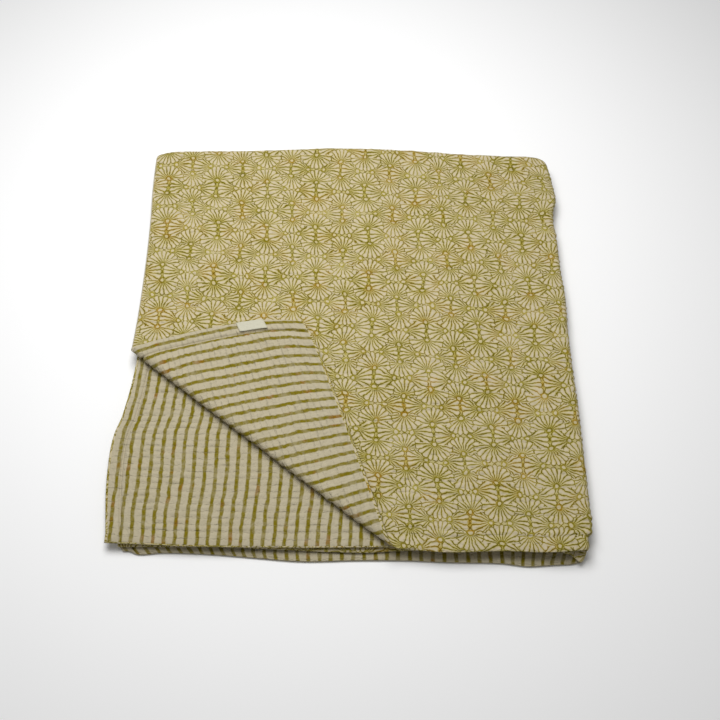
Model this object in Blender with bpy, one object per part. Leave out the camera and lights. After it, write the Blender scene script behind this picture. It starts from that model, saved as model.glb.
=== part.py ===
"""Hand-quilted cotton cot quilt, folded in quarters with one corner turned back.

Metres, +Z up. The origin is under the middle of the folded quilt, on the surface
that it lies on, with +X to the right and +Y towards the back fold.

The cloth is cut flat as one padded slab. `across` runs over the cloth from its left
hem, `along` from its front hem. The slab is then folded three times: its front left
corner is turned back, its right half goes under its left half, and the back half of
that goes under the front half. From the top the leaves are 1a, 2a, 2b and 1b.
"""

import math
from collections import namedtuple

import bmesh
import bpy
from mathutils import Vector

# Middle of the folded outline, before it is moved over the origin
MIDDLE = (-0.000714, 0.000572)

# Cloth
THICK = 0.0040            # two cloths with their filling, between stitch rows
GAP = 0.0012              # air between two folded leaves
ROW_PITCH = 0.0073        # distance between two rows of running stitch
ROW_RISE = 0.00035        # swell of the filling between two rows
ROW_DIP = 0.00050         # how far a row of stitches draws the cloth in
ROW_UNEVEN = 0.25         # how much a row's swell comes and goes, as a share
ROW_WAVE = 53             # radians for each metre along a row
ROW_STAGGER = 2.1         # radians from one row to the next
HEM = 0.0155              # width of the turned hem
HEM_DIP = 0.0008          # depth of the seam that holds the hem
SEAM_SIDE = 0.0020        # from the seam to where its dip ends
HEM_FLAT = 0.0003         # how much thinner a side is over the hem
RIM_ROUND = 0.0022        # rounding of the outer edge
RIM_SHARE = 0.45          # half thickness at the very edge, as a share

# Folded outline
LEFT = -0.2467            # left hems
FRONT_UPPER = -0.2549     # front hems of the upper two leaves
FRONT_LOWER = -0.2588     # front hems of the lower two leaves
RIGHT_BEND = 0.2447       # where the cloth starts to turn under on the right
BACK_BEND = 0.2520        # where it starts to turn under at the back
HEM_REACH = 0.26          # how far inwards an uneven hem is felt

# Folds
RIGHT_SWELL = 0.00065     # extra half gap beside the right fold
RIGHT_SWELL_REACH = 0.060
BACK_SWELL = 0.0010       # extra half gap beside the back fold
BACK_SWELL_REACH = 0.055
BACK_ROLL = 0.0055        # cloth taken up by the back fold, per radian
EDGE_REACH = 0.090        # how far inwards an uneven fold is felt

# Turned corner: the fold's outer line runs from the left side to the front
TURN_LEFT = Vector((-0.2424, -0.0315))
TURN_FRONT = Vector((0.0374, -0.2457))
TURN_RADIUS = 0.0045      # middle of the cloth as it turns over
TURN_SETTLE = 0.050       # length over which the flap comes down to rest
FLAP_GAP = 0.0016
FLAP_PUFF = 0.0022        # swell of the flap behind its hem seam
FLAP_PUFF_RISE = 0.010    # from the seam to the top of the swell
FLAP_PUFF_START = 0.012   # where the swell starts to fade
FLAP_PUFF_REACH = 0.042   # where it has gone
FLAP_PUFF_FOLD = 0.020    # over this length it dies out at the turned fold

# Label
LABEL_LENGTH = 0.0352
LABEL_WIDTH = 0.0126
LABEL_THICK = 0.0007
LABEL_CLEAR = 0.0004
LABEL_FROM_CORNER = 0.0475
LABEL_FROM_EDGE = 0.0008

# Mesh
LEVEL = 0.00001           # what is lower than this lies on the surface
COLUMNS = 10              # cells between the left hem and the right fold
ROWS_A_CELL = 7           # stitch rows in a cell where the quilting doesn't show
BEND_STEPS = 6
TURN_STEPS = 5
SETTLE_STEPS = 3
LABEL_CELLS = 6

# Where the quilting shows, in the flat cloth
FACE_SIDE = 0.4 * THICK   # the middle of a printed cell is higher than this
FLAP_RIGHT = 0.090        # the turned corner ends left of this
HIDDEN_START = 0.012      # past the fold line the print is hidden
REVERSE_START = -0.030    # the flap's stripes start this far inside the line
BARED_START = -0.020      # and so do those of the leaf under it

Uneven = namedtuple("Uneven", "at out")
Roll = namedtuple("Roll", "rise across along phase")

# How far each hem stands out past its line, along the y or x given first
LEFT_HEM_1A = [
    Uneven(at=-0.255, out=-0.0160), Uneven(at=-0.235, out=-0.0082), Uneven(at=-0.205, out=-0.0006),
    Uneven(at=-0.172, out=0.0030), Uneven(at=-0.120, out=0.0052), Uneven(at=-0.075, out=0.0042),
    Uneven(at=-0.030, out=0.0000),
    Uneven(at=0.020, out=-0.0025), Uneven(at=0.080, out=-0.0032), Uneven(at=0.150, out=-0.0022),
    Uneven(at=0.200, out=0.0000), Uneven(at=0.252, out=0.0003),
]
LEFT_HEM_2A = [
    Uneven(at=-0.245, out=0.0028), Uneven(at=-0.200, out=0.0082), Uneven(at=-0.155, out=0.0097),
    Uneven(at=-0.130, out=0.0074), Uneven(at=-0.108, out=0.0016), Uneven(at=-0.060, out=-0.0047),
    Uneven(at=0.000, out=-0.0072), Uneven(at=0.120, out=-0.0060), Uneven(at=0.252, out=-0.0040),
]
LEFT_HEM_2B = [
    Uneven(at=-0.255, out=-0.0100), Uneven(at=-0.150, out=-0.0075), Uneven(at=0.000, out=-0.0060),
    Uneven(at=0.120, out=-0.0055), Uneven(at=0.252, out=-0.0040),
]
LEFT_HEM_1B = [
    Uneven(at=-0.255, out=-0.0085), Uneven(at=-0.150, out=-0.0050), Uneven(at=0.000, out=-0.0060),
    Uneven(at=0.120, out=-0.0040), Uneven(at=0.252, out=0.0003),
]
FRONT_HEM_1A = [
    Uneven(at=-0.247, out=-0.0280), Uneven(at=-0.220, out=-0.0225), Uneven(at=-0.110, out=-0.0130),
    Uneven(at=0.020, out=-0.0050), Uneven(at=0.060, out=-0.0030), Uneven(at=0.100, out=0.0002),
    Uneven(at=0.155, out=-0.0010), Uneven(at=0.210, out=0.0004), Uneven(at=0.2447, out=-0.0015),
]
FRONT_HEM_2A = [
    Uneven(at=-0.250, out=-0.0109), Uneven(at=-0.202, out=-0.0088), Uneven(at=-0.151, out=-0.0068),
    Uneven(at=-0.049, out=-0.0057), Uneven(at=0.100, out=-0.0060), Uneven(at=0.2447, out=-0.0015),
]
FRONT_HEM_2B = [
    Uneven(at=-0.240, out=-0.0040), Uneven(at=-0.120, out=-0.0052), Uneven(at=0.030, out=-0.0036),
    Uneven(at=0.150, out=0.0000), Uneven(at=0.2447, out=0.0050),
]
FRONT_HEM_1B = [
    Uneven(at=-0.237, out=-0.0047), Uneven(at=-0.204, out=-0.0068), Uneven(at=-0.152, out=-0.0052),
    Uneven(at=-0.101, out=-0.0016), Uneven(at=-0.049, out=0.0020), Uneven(at=0.010, out=0.0009),
    Uneven(at=0.060, out=0.0012), Uneven(at=0.104, out=0.0030), Uneven(at=0.155, out=0.0040),
    Uneven(at=0.186, out=0.0071), Uneven(at=0.217, out=0.0058), Uneven(at=0.2447, out=0.0050),
]
# How far the two outer folds stand out past their lines
RIGHT_EDGE = [
    Uneven(at=-0.262, out=-0.0100), Uneven(at=-0.257, out=-0.0075), Uneven(at=-0.250, out=-0.0050),
    Uneven(at=-0.240, out=-0.0052), Uneven(at=-0.236, out=-0.0008), Uneven(at=-0.200, out=0.0002),
    Uneven(at=-0.100, out=0.0010), Uneven(at=-0.040, out=0.0000), Uneven(at=0.000, out=0.0000),
    Uneven(at=0.042, out=0.0018), Uneven(at=0.080, out=0.0000), Uneven(at=0.126, out=0.0002),
    Uneven(at=0.155, out=-0.0014), Uneven(at=0.186, out=0.0046), Uneven(at=0.217, out=0.0030),
    Uneven(at=0.262, out=-0.0020),
]
BACK_EDGE = [
    Uneven(at=-0.250, out=-0.0100), Uneven(at=-0.240, out=-0.0040), Uneven(at=-0.224, out=-0.0009),
    Uneven(at=-0.142, out=0.0000), Uneven(at=-0.069, out=0.0024), Uneven(at=-0.007, out=0.0040),
    Uneven(at=0.083, out=0.0000), Uneven(at=0.140, out=-0.0050), Uneven(at=0.216, out=-0.0098),
    Uneven(at=0.240, out=-0.0147), Uneven(at=0.250, out=-0.0210),
]

# Long soft waves over the stack, as shares of its height
ROLLS = [
    Roll(rise=0.022, across=17, along=5, phase=0.6),
    Roll(rise=0.018, across=-7, along=21, phase=2.0),
]

# What the sizes above give
HALF = THICK / 2
REST_RADIUS = (THICK + GAP) / 2
RIGHT_RADIUS = REST_RADIUS + RIGHT_SWELL
RIGHT_ARC = math.pi * RIGHT_RADIUS
BACK_ARC = math.pi * BACK_ROLL
ACROSS_END = 2 * RIGHT_BEND + RIGHT_ARC - LEFT
ALONG_END = 2 * BACK_BEND + BACK_ARC - FRONT_LOWER
TURN_DIRECTION = (TURN_FRONT - TURN_LEFT).normalized()
TURN_OUTWARD = Vector((TURN_DIRECTION.y, -TURN_DIRECTION.x))
TURN_START = -(TURN_RADIUS + HALF)
TURN_ARC = math.pi * TURN_RADIUS
TURN_STEP = TURN_ARC / TURN_STEPS
SETTLE_STEP = TURN_SETTLE / SETTLE_STEPS


def smooth(value):
    """Ease from 0 to 1, held at both ends."""
    value = min(max(value, 0.0), 1.0)
    return value * value * (3 - 2 * value)


def uneven(table, at):
    """Smooth curve through a table's rows, level past its ends."""
    if at <= table[0].at:
        return table[0].out
    if at >= table[-1].at:
        return table[-1].out
    last = len(table) - 1
    row = max(index for index in range(last) if table[index].at <= at)
    start, end = table[row], table[row + 1]
    span = end.at - start.at
    before = table[max(row - 1, 0)]
    after = table[min(row + 2, last)]
    start_slope = (end.out - before.out) / (end.at - before.at) * span
    end_slope = (after.out - start.out) / (after.at - start.at) * span
    u = (at - start.at) / span
    return ((2 * u**3 - 3 * u**2 + 1) * start.out + (u**3 - 2 * u**2 + u) * start_slope
            + (3 * u**2 - 2 * u**3) * end.out + (u**3 - u**2) * end_slope)


def plan_x(across):
    """Where a line across the cloth lies once the right half is folded under."""
    if across <= RIGHT_BEND:
        return across
    return min(RIGHT_BEND, 2 * RIGHT_BEND + RIGHT_ARC - across)


def plan_y(along):
    """Where a line along the cloth lies once the back half is folded under."""
    if along <= BACK_BEND:
        return along
    return min(BACK_BEND, 2 * BACK_BEND + BACK_ARC - along)


def cut_uneven(across, along):
    """Move a point of the straight slab to where the uneven hems put it."""
    x, y = plan_x(across), plan_y(along)
    under = across > RIGHT_BEND + RIGHT_ARC / 2
    lower = along > BACK_BEND + BACK_ARC / 2
    if lower:
        left, front = (LEFT_HEM_2B, FRONT_HEM_2B) if under else (LEFT_HEM_1B, FRONT_HEM_1B)
    else:
        left, front = (LEFT_HEM_2A, FRONT_HEM_2A) if under else (LEFT_HEM_1A, FRONT_HEM_1A)
    front_line = FRONT_LOWER if lower else FRONT_UPPER
    out_left = uneven(left, y) * smooth(1 - (x - LEFT) / HEM_REACH)
    out_front = uneven(front, x) * smooth(1 - (y - front_line) / HEM_REACH)
    return (across + out_left if under else across - out_left,
            along + out_front if lower else along - out_front)


def rim_distance(across, along):
    return min(across - LEFT, ACROSS_END - across, along - FRONT_UPPER, ALONG_END - along)


def row_swell(across, along):
    """Filling between the rows stands up, and the stitches draw it in."""
    row = (along - FRONT_UPPER - HEM) / ROW_PITCH
    between = abs((row % 1.0) - 0.5) * 2
    firm = 1 + ROW_UNEVEN * math.sin(ROW_WAVE * across + ROW_STAGGER * math.floor(row))
    return (ROW_RISE - (ROW_RISE + ROW_DIP) * between**2) * firm


def half_thickness(across, along, quilted):
    """Distance from the middle of the cloth to one of its faces."""
    edge = rim_distance(across, along)
    if edge < RIM_ROUND:
        rise = math.sin(math.pi / 2 * max(edge, 0) / RIM_ROUND)
        full = HALF - HEM_FLAT if quilted else HALF
        return full * (RIM_SHARE + (1 - RIM_SHARE) * rise)
    if not quilted:
        return HALF
    from_seam = abs(edge - HEM)
    if from_seam < SEAM_SIDE:
        return HALF - HEM_DIP * smooth(1 - from_seam / SEAM_SIDE)
    return HALF - HEM_FLAT if edge < HEM else HALF + row_swell(across, along)


def turn_corner(across, along, offset, past_hem):
    """Turn the front left corner up and over its fold line."""
    place = Vector((across, along))
    beyond = (place - TURN_LEFT).dot(TURN_OUTWARD) - TURN_START
    if beyond <= 0 or across > RIGHT_BEND or along > 0:
        return across, along, offset
    if beyond < TURN_ARC:
        angle = beyond / TURN_RADIUS
        radius = TURN_RADIUS - offset
        reached = radius * math.sin(angle)
        height = TURN_RADIUS - radius * math.cos(angle)
    else:
        back = beyond - TURN_ARC
        reached = -back
        rest = THICK + FLAP_GAP
        height = rest + (2 * TURN_RADIUS - rest) * (1 - smooth(back / TURN_SETTLE)) - offset
        fade = (FLAP_PUFF_REACH - past_hem) / (FLAP_PUFF_REACH - FLAP_PUFF_START)
        height += (FLAP_PUFF * smooth(past_hem / FLAP_PUFF_RISE) * smooth(fade)
                   * smooth(back / FLAP_PUFF_FOLD))
    place += TURN_OUTWARD * (reached - beyond)
    return place.x, place.y, height


def right_gap(x):
    return REST_RADIUS + RIGHT_SWELL * smooth(1 - (RIGHT_BEND - x) / RIGHT_SWELL_REACH)


def fold_right(across, height):
    """Fold the right half under. Heights are from the middle of the pair."""
    if across <= RIGHT_BEND:
        return across, right_gap(across) + height
    angle = (across - RIGHT_BEND) / RIGHT_RADIUS
    if angle < math.pi:
        radius = RIGHT_RADIUS + height
        return RIGHT_BEND + radius * math.sin(angle), radius * math.cos(angle)
    x = 2 * RIGHT_BEND + RIGHT_ARC - across
    return x, -right_gap(x) - height


def fold_back(along, x, height):
    """Fold the back half of the pair under and set the lowest leaf flat on the surface."""
    gap = right_gap(min(x, RIGHT_BEND))
    depth = plan_y(along)
    swell = BACK_SWELL * smooth(1 - (BACK_BEND - depth) / BACK_SWELL_REACH)
    lift = gap + HALF + GAP / 2 + swell
    radius = lift + height
    bottom = lift + gap + HALF
    angle = (along - BACK_BEND) / BACK_ROLL
    if angle <= 0:
        return along, bottom + radius
    if angle < math.pi:
        return BACK_BEND + radius * math.sin(angle), bottom + radius * math.cos(angle)
    return depth, bottom - radius


def lie_uneven(x, y, z):
    """Let the outer folds wander, round the corners and let the top roll gently."""
    out_right = uneven(RIGHT_EDGE, y) * smooth(1 - (RIGHT_BEND - x) / EDGE_REACH)
    out_back = uneven(BACK_EDGE, x) * smooth(1 - (BACK_BEND - y) / EDGE_REACH)
    rise = sum(roll.rise * math.sin(roll.across * x + roll.along * y + roll.phase) for roll in ROLLS)
    return x + out_right - MIDDLE[0], y + out_back - MIDDLE[1], z * (1 + rise)


def folded(across, along, offset, past_hem):
    """Place a point of the unevenly cut cloth, given its height over the cloth's middle."""
    across, along, height = turn_corner(across, along, offset, past_hem)
    x, height = fold_right(across, height)
    y, z = fold_back(along, x, height)
    x, y, z = lie_uneven(x, y, z)
    return Vector((x, y, 0.0 if z < LEVEL else z))


def even_lines(start, end, count):
    return [start + (end - start) * step / count for step in range(1, count)]


def cut(mesh, place, normal, wanted=None):
    """Cut faces along a plane, all of them or those that `wanted` picks."""
    faces = [face for face in mesh.faces if wanted is None or wanted(face.calc_center_median())]
    around = {edge for face in faces for edge in face.edges}
    points = {point for face in faces for point in face.verts}
    bmesh.ops.bisect_plane(mesh, geom=[*points, *around, *faces], dist=1e-7,
                           plane_co=place, plane_no=normal)


def across_lines():
    """Lines from front to back: cells, rounded rims and the right fold."""
    cells = even_lines(LEFT, RIGHT_BEND, COLUMNS)
    under = [2 * RIGHT_BEND + RIGHT_ARC - place for place in cells]
    bend = [RIGHT_BEND + RIGHT_ARC * step / BEND_STEPS for step in range(BEND_STEPS + 1)]
    return [*cells, *under, *bend, LEFT + RIM_ROUND, ACROSS_END - RIM_ROUND]


def along_lines():
    """Lines from side to side: cells, rounded rims and the back fold."""
    cell = ROWS_A_CELL * ROW_PITCH
    count = int((BACK_BEND - FRONT_UPPER - HEM) / cell)
    cells = [FRONT_UPPER + HEM + cell * step for step in range(count + 1)]
    under = [2 * BACK_BEND + BACK_ARC - place for place in cells]
    bend = [BACK_BEND + BACK_ARC * step / BEND_STEPS for step in range(BEND_STEPS + 1)]
    return [*cells, *under, *bend, FRONT_UPPER + RIM_ROUND, ALONG_END - RIM_ROUND]


def row_lines(end):
    """The front hem's near side, then each stitch row and swell that no cell's line marks."""
    half_rows = int((end - FRONT_UPPER - HEM) / (ROW_PITCH / 2))
    lines = [FRONT_UPPER + HEM + ROW_PITCH / 2 * step
             for step in range(half_rows + 1) if step % (2 * ROWS_A_CELL)]
    return [FRONT_UPPER + HEM - SEAM_SIDE, *lines]


def turn_distance(place):
    return (Vector((place.x, place.y)) - TURN_LEFT).dot(TURN_OUTWARD)


def printed_top(centre):
    """Face side of the uppermost leaf, as far as it isn't turned back."""
    return (centre.z > FACE_SIDE and LEFT + RIM_ROUND < centre.x < RIGHT_BEND + RIGHT_ARC / 2
            and centre.y < BACK_BEND + BACK_ARC / 2 and turn_distance(centre) < HIDDEN_START)


def turned_flap(centre):
    """Reverse of the uppermost leaf, from a little inside the turned corner's fold."""
    shown = centre.x < FLAP_RIGHT and turn_distance(centre) > REVERSE_START
    return centre.z < -FACE_SIDE and shown


def bared_leaf(centre):
    """Reverse of the second leaf, where the turned corner bares it."""
    x = plan_x(centre.x)
    shown = x < FLAP_RIGHT and turn_distance(Vector((x, centre.y, 0))) > BARED_START
    return centre.z < -FACE_SIDE and centre.x > RIGHT_BEND + RIGHT_ARC and shown


def reverse_shown(place):
    return turned_flap(place) or bared_leaf(place)


def quilted_face(place):
    return printed_top(place) or reverse_shown(place)


def flat_slab():
    """The cloth as a straight slab, cut into cells that are fine where the quilting shows."""
    mesh = bmesh.new()
    bmesh.ops.create_cube(mesh, size=1)
    bmesh.ops.scale(mesh, verts=mesh.verts,
                    vec=(ACROSS_END - LEFT, ALONG_END - FRONT_UPPER, THICK))
    bmesh.ops.translate(mesh, verts=mesh.verts,
                        vec=((ACROSS_END + LEFT) / 2, (ALONG_END + FRONT_UPPER) / 2, 0))
    for place in across_lines():
        cut(mesh, (place, 0, 0), (1, 0, 0))
    for place in along_lines():
        cut(mesh, (0, place, 0), (0, 1, 0))
    for place in row_lines(BACK_BEND + BACK_ARC / 3):
        cut(mesh, (0, place, 0), (0, 1, 0), quilted_face)
    for side in (LEFT + HEM, ACROSS_END - HEM):
        for aside in (-SEAM_SIDE, 0, SEAM_SIDE):
            cut(mesh, (side + aside, 0, 0), (1, 0, 0), reverse_shown)
    return mesh


def make_cloth():
    mesh = flat_slab()
    straight_across = mesh.verts.layers.float.new("straight_across")
    straight_along = mesh.verts.layers.float.new("straight_along")
    quilted = mesh.verts.layers.float.new("quilted")
    for point in mesh.verts:
        point[straight_across], point[straight_along] = point.co.x, point.co.y
        point[quilted] = float(any(quilted_face(face.calc_center_median())
                                   for face in point.link_faces))
    for point in mesh.verts:
        point.co.x, point.co.y = cut_uneven(point.co.x, point.co.y)
    turn_lines = [TURN_START + TURN_STEP * step for step in range(TURN_STEPS + 1)]
    turn_lines += [TURN_START + TURN_ARC + SETTLE_STEP * step for step in range(1, SETTLE_STEPS + 1)]
    for line in turn_lines:
        place = TURN_LEFT + TURN_OUTWARD * line
        cut(mesh, (place.x, place.y, 0), (TURN_OUTWARD.x, TURN_OUTWARD.y, 0))
    bmesh.ops.triangulate(mesh, faces=mesh.faces, quad_method="BEAUTY", ngon_method="BEAUTY")
    for point in mesh.verts:
        side = 1 if point.co.z > 0 else -1
        half = half_thickness(point[straight_across], point[straight_along], point[quilted] > 0.5)
        past_hem = point[straight_across] - LEFT - HEM
        point.co = folded(point.co.x, point.co.y, side * half, past_hem)
    return mesh


def make_label():
    """A straight tape, laid on the turned hem's reverse as the cloth itself lies."""
    mesh = bmesh.new()
    bmesh.ops.create_cube(mesh, size=1)
    bmesh.ops.scale(mesh, verts=mesh.verts, vec=(LABEL_WIDTH, LABEL_LENGTH, LABEL_THICK))
    for place in even_lines(-LABEL_LENGTH / 2, LABEL_LENGTH / 2, LABEL_CELLS):
        cut(mesh, (0, place, 0), (0, 1, 0))
    cut(mesh, (0, 0, 0), (1, 0, 0))
    bmesh.ops.triangulate(mesh, faces=mesh.faces)
    for point in mesh.verts:
        across = LEFT + LABEL_FROM_EDGE + LABEL_WIDTH / 2 + point.co.x
        along = FRONT_UPPER + LABEL_FROM_CORNER + LABEL_LENGTH / 2 + point.co.y
        offset = -HALF - LABEL_CLEAR - LABEL_THICK / 2 + point.co.z
        point.co = folded(*cut_uneven(across, along), offset, 0)
    return mesh


def cloth_material(name, colour):
    material = bpy.data.materials.new(name)
    material.use_nodes = True
    shader = material.node_tree.nodes["Principled BSDF"]
    shader.inputs["Base Color"].default_value = (*colour, 1)
    shader.inputs["Roughness"].default_value = 0.9
    shader.inputs["Metallic"].default_value = 0
    return material


def add_object(name, mesh, material, collection):
    data = bpy.data.meshes.new(name)
    mesh.to_mesh(data)
    mesh.free()
    data.materials.append(material)
    data.shade_smooth()
    piece = bpy.data.objects.new(name, data)
    collection.objects.link(piece)
    return piece


def main():
    for item in list(bpy.data.objects):
        bpy.data.objects.remove(item, do_unlink=True)
    collection = bpy.data.collections.new("folded_quilt")
    bpy.context.scene.collection.children.link(collection)
    printed = cloth_material("printed_cotton", (0.53, 0.46, 0.22))
    tape = cloth_material("label_tape", (0.76, 0.73, 0.62))
    add_object("quilt", make_cloth(), printed, collection)
    add_object("label", make_label(), tape, collection)


main()
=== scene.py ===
"""Looks of the folded cot quilt: its two cloths, their stitching and its sewn tape.

Metres, +Z up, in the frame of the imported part. The cloths are cut flat, with `across`
running over the cloth from its left hem and `along` from its front hem, and folded as
the solid is. From the top the leaves are 1a, 2a, 2b and 1b.
"""

import math

import bmesh
import bpy
import numpy as np
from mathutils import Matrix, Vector


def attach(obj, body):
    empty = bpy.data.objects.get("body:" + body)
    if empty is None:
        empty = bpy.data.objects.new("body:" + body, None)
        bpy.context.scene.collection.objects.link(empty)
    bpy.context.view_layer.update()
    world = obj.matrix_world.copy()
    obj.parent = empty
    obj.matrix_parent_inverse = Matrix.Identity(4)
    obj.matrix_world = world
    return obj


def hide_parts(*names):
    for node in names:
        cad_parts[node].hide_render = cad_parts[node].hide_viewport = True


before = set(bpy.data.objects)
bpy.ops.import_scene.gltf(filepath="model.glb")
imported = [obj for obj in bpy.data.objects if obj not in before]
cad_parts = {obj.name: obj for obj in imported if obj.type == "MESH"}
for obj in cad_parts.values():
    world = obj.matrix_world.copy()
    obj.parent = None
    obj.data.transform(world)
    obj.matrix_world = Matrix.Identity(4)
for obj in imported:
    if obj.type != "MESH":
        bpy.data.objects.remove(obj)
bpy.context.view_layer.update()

# Middle of the folded outline, before it is moved over the origin
MIDDLE = (-0.000714, 0.000572)

# Cloth
THICK = 0.0040            # two cloths with their filling, between stitch rows
GAP = 0.0012              # air between two folded leaves
ROW_PITCH = 0.0073        # distance between two rows of running stitch
ROW_RISE = 0.00055        # swell of the filling between two rows
ROW_DIP = 0.00085         # how far a row of stitches draws the cloth in
ROW_WANDER = 0.0013       # how far a hand-sewn row strays from its line
ROW_WAVE_ACROSS = 0.019   # half length of its wandering, across the cloth
ROW_WAVE_ALONG = 0.012    # and along it
ROW_FIRM = 0.80           # how firmly the rows are drawn, and how much that varies
ROW_FIRM_WAVE = 0.0085
ROW_END = 0.8             # share of the back fold after which the rows are plain
HIDDEN_RELIEF = 0.55      # share of their relief where leaf lies on leaf
PUFF = 0.00062            # height of the puckers between rows
PUFF_LENGTH = 0.0110      # their length along a row
CRUMPLE = 0.00022         # height of the small crumples
CRUMPLE_WAVE = 0.0060
HEM = 0.0155              # width of the turned hem
HEM_DIP = 0.0004          # depth of the seam that holds the hem
HEM_DIP_BACK = 0.0026     # and on the reverse of the left hems
SEAM_SIDE = 0.0020        # from the seam to where its dip ends
HEM_FLAT = 0.0003         # how much thinner a side is over the hem
HEM_PUFF = 0.00035        # height of the puckers along a hem
HEM_PUFF_WAVE = 0.0045
HEM_PUFF_RISE = 0.004     # from the rim to their full height
RIM_ROUND = 0.0029        # rounding of the outer edge
FRONT_ROUND = 0.0075      # and of its front

# Folded outline
LEFT = -0.2467            # left hems
FRONT_UPPER = -0.2549     # front hems of the upper two leaves
FRONT_LOWER = -0.2588     # front hems of the lower two leaves
RIGHT_BEND = 0.2447       # where the cloth starts to turn under on the right
BACK_BEND = 0.2520        # where it starts to turn under at the back
HEM_REACH = 0.26          # how far inwards an uneven hem is felt

# Folds
RIGHT_SWELL = 0.00065     # extra half gap beside the right fold
RIGHT_SWELL_REACH = 0.060
BACK_SWELL = 0.0010       # extra half gap beside the back fold
BACK_SWELL_REACH = 0.055
BACK_ROLL = 0.0055        # cloth taken up by the back fold, per radian
EDGE_REACH = 0.090        # how far inwards an uneven fold is felt

# Turned corner: the fold's outer line runs from the left side to the front
TURN_LEFT = (-0.2424, -0.0315)
TURN_FRONT = (0.0374, -0.2457)
TURN_RADIUS = 0.0045      # middle of the cloth as it turns over
TURN_SETTLE = 0.050       # length over which the flap comes down to rest
FLAP_GAP = 0.0016
FLAP_PUFF = 0.0022        # swell of the flap behind its hem seam
FLAP_PUFF_RISE = 0.010    # from the seam to the top of the swell
FLAP_PUFF_START = 0.012   # where the swell starts to fade
FLAP_PUFF_REACH = 0.042   # where it has gone
FLAP_PUFF_FOLD = 0.020    # over this length it dies out at the turned fold
FLAP_RIGHT = 0.090        # the turned corner ends left of this
BARED_START = -0.030      # from its fold line to where a reverse starts to be in the open
BARED_FADE = 0.012

# Label
LABEL_LENGTH = 0.0352
LABEL_WIDTH = 0.0126
LABEL_THICK = 0.0007
LABEL_CLEAR = 0.0004
LABEL_FROM_CORNER = 0.0475
LABEL_FROM_EDGE = 0.0008
LABEL_LIFT = 0.0012       # how far its inner long edge stands off the cloth
LABEL_SAG = 0.0003
LABEL_PRESSED = -0.0001   # its lift can't fall below this
LABEL_CELLS_LONG = 30
LABEL_CELLS_WIDE = 10

# Mesh
LEVEL = 0.00001           # what is lower than this lies on the surface
ON_RIM = 0.000001         # what is nearer than this to a hem's edge lies on it
STEP = 0.0029             # between two lines from front to back, where it shows
COARSE = 0.012            # and where it doesn't
LOWER_STEP = 0.005        # between two lines from side to side near the lower front hems
LOWER_FINE = 0.045        # how far from the hems that reaches
BEND_STEPS = 12
TURN_STEPS = 8
TURN_CELLS = 0.006        # faces this near to a cut along the turned fold are cut by it
TURN_BACK = 0.02          # and none of them lies behind this
CUT_JOIN = 0.00002        # points this near to a cut are moved onto it
RIM_STEPS = (0.0, 0.0004, 0.0010, 0.0016, 0.0024)
WRAP = 0.0016             # how far one cloth is rolled over the other at a hem
WRAP_2A = 0.0028          # and at the left hem of the second leaf
WRAP_FRONT = 0.0034       # and at the front hem of the first leaf

# Print: large stars with a smaller one between each four, all of four fans of petals, in mm
PRINT_WIDE = 61.8         # from star to star, across
PRINT_LONG = 63.2         # and along
PRINT_START = (-36.4, 129.1)
PRINT_LEAN = (0.030, 0.050)   # the cloth's grain runs askew to its hems
FAN_UP = 11.2             # from a star's middle to the upper and lower fans' dots
FAN_SIDE = 22.5           # and to the side fans' dots
FAN_SIDE_SMALL = 20.8
FAN_UP_REACH = 20.4
FAN_UP_REACH_SMALL = 20.8
FAN_SIDE_REACH = 22.8
FAN_SIDE_REACH_SMALL = 21.2
PETAL = 18.0              # degrees for each petal
LINE = 0.56               # half width of a printed line
LINE_SHARE = 0.20         # and its largest share of a petal's width
RUN = 2.6                 # how far the ink runs out from a line
RUN_INK = 0.28            # how strong it is there
TIP_ROUND = 9.0           # a petal's sides are a quarter of this shorter than its middle
DOT_SIDE = 2.2            # radius of the light dot of a side fan
DOT_UP = 2.3              # and of an upper or lower fan
RING_INK = 0.68           # strength of the ink in the ring round a dot
DOT_INK = 0.13            # and in the dot
BAR_INK = 0.42            # and between a star's upper and lower dots
GROUND_INK = 0.26         # and outside all fans
FAN_SIDE_OPEN = 99.0      # degrees that a side fan opens to each side of its axis
FAN_UP_OPEN = 90.0        # and an upper or lower one
PRINT_SHAKES = ((0.018, 9.0), (0.07, 4.2), (0.28, 2.0))   # scale and reach of its uneven lines

# Stripes of the reverse, in mm
STRIPE_PITCH = 11.2
STRIPE_HALF = 1.98
STRIPE_FIRST = 6.0        # middle of the first stripe from the hem's edge
STRIPE_EASE_1A = 0.952    # the flap's cloth is drawn out a little across its stripes
STRIPE_EASE_2A = 1.013
STRIPE_SHAKES = ((0.02, 2.4), (0.075, 2.1), (0.14, 1.3), (0.25, 0.9))

# Cloth's surface, in mm
WEAVE_PITCH = 0.9
WEAVE_HEIGHT = 0.022
PUCKER_HEIGHT = 1.05
STITCH_SHIFT = 2.37       # how far the stitches of one row lie off those of the last
STITCH_HALF = 3.1         # half the distance between two stitches
THREAD_HEIGHT = 0.22
GROOVE_DEPTH = 0.70
LABEL_WARP = 0.55
LABEL_WEFT = 0.70
LABEL_RELIEF = 0.05
MM = 1000.0               # in a metre

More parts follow.
